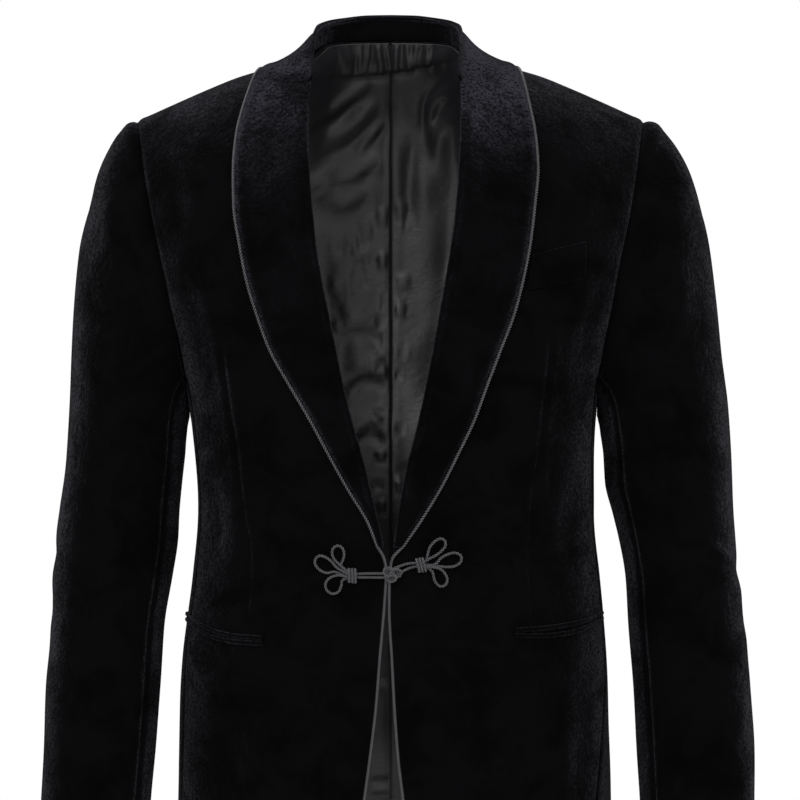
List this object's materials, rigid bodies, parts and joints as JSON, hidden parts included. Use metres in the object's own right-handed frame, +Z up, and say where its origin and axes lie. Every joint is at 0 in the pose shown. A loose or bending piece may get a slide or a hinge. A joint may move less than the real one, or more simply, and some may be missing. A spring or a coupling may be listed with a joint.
{
  "type": "velvet blazer",
  "caption": "Hollow, filled-out velvet blazer with a corded shawl collar, set-in sleeves, welt and jetted pockets, and a fastened frog closure.",
  "frame": {"origin": "middle of the neck, level with the inner ends of the shoulder seams, where the wearer or an inner form holds it up", "axes": "+Z up, -Y the front of the blazer, +X the wearer's left (the viewer's right)"},
  "size_m": [0.6331, 0.2567, 0.7849],
  "materials": {
    "velvet": "black cotton velvet with a short dense pile that shows grey where it turns away",
    "lining_satin": "charcoal satin lining, soft gloss, with fine wrinkles",
    "twisted_cord": "grey rayon cord, two-ply twist, semi-matt"
  },
  "bodies": {
    "root": {"front_right": "velvet", "front_left": "velvet", "side_right": "velvet", "side_left": "velvet", "back_right": "velvet", "back_left": "velvet", "lining_back_right": "lining_satin", "lining_back_left": "lining_satin", "sleeve_top_right": "velvet", "sleeve_top_left": "velvet", "sleeve_under_right": "velvet", "sleeve_under_left": "velvet", "shawl_right": "velvet", "shawl_left": "velvet", "collar_stand": "velvet", "piping_right": "twisted_cord", "piping_left": "twisted_cord", "frog_right": "twisted_cord", "frog_left": "twisted_cord", "frog_knot": "twisted_cord", "breast_welt": "velvet", "hip_jet_upper_right": "velvet", "hip_jet_lower_right": "velvet", "hip_jet_upper_left": "velvet", "hip_jet_lower_left": "velvet"}
  },
  "joints": []
}
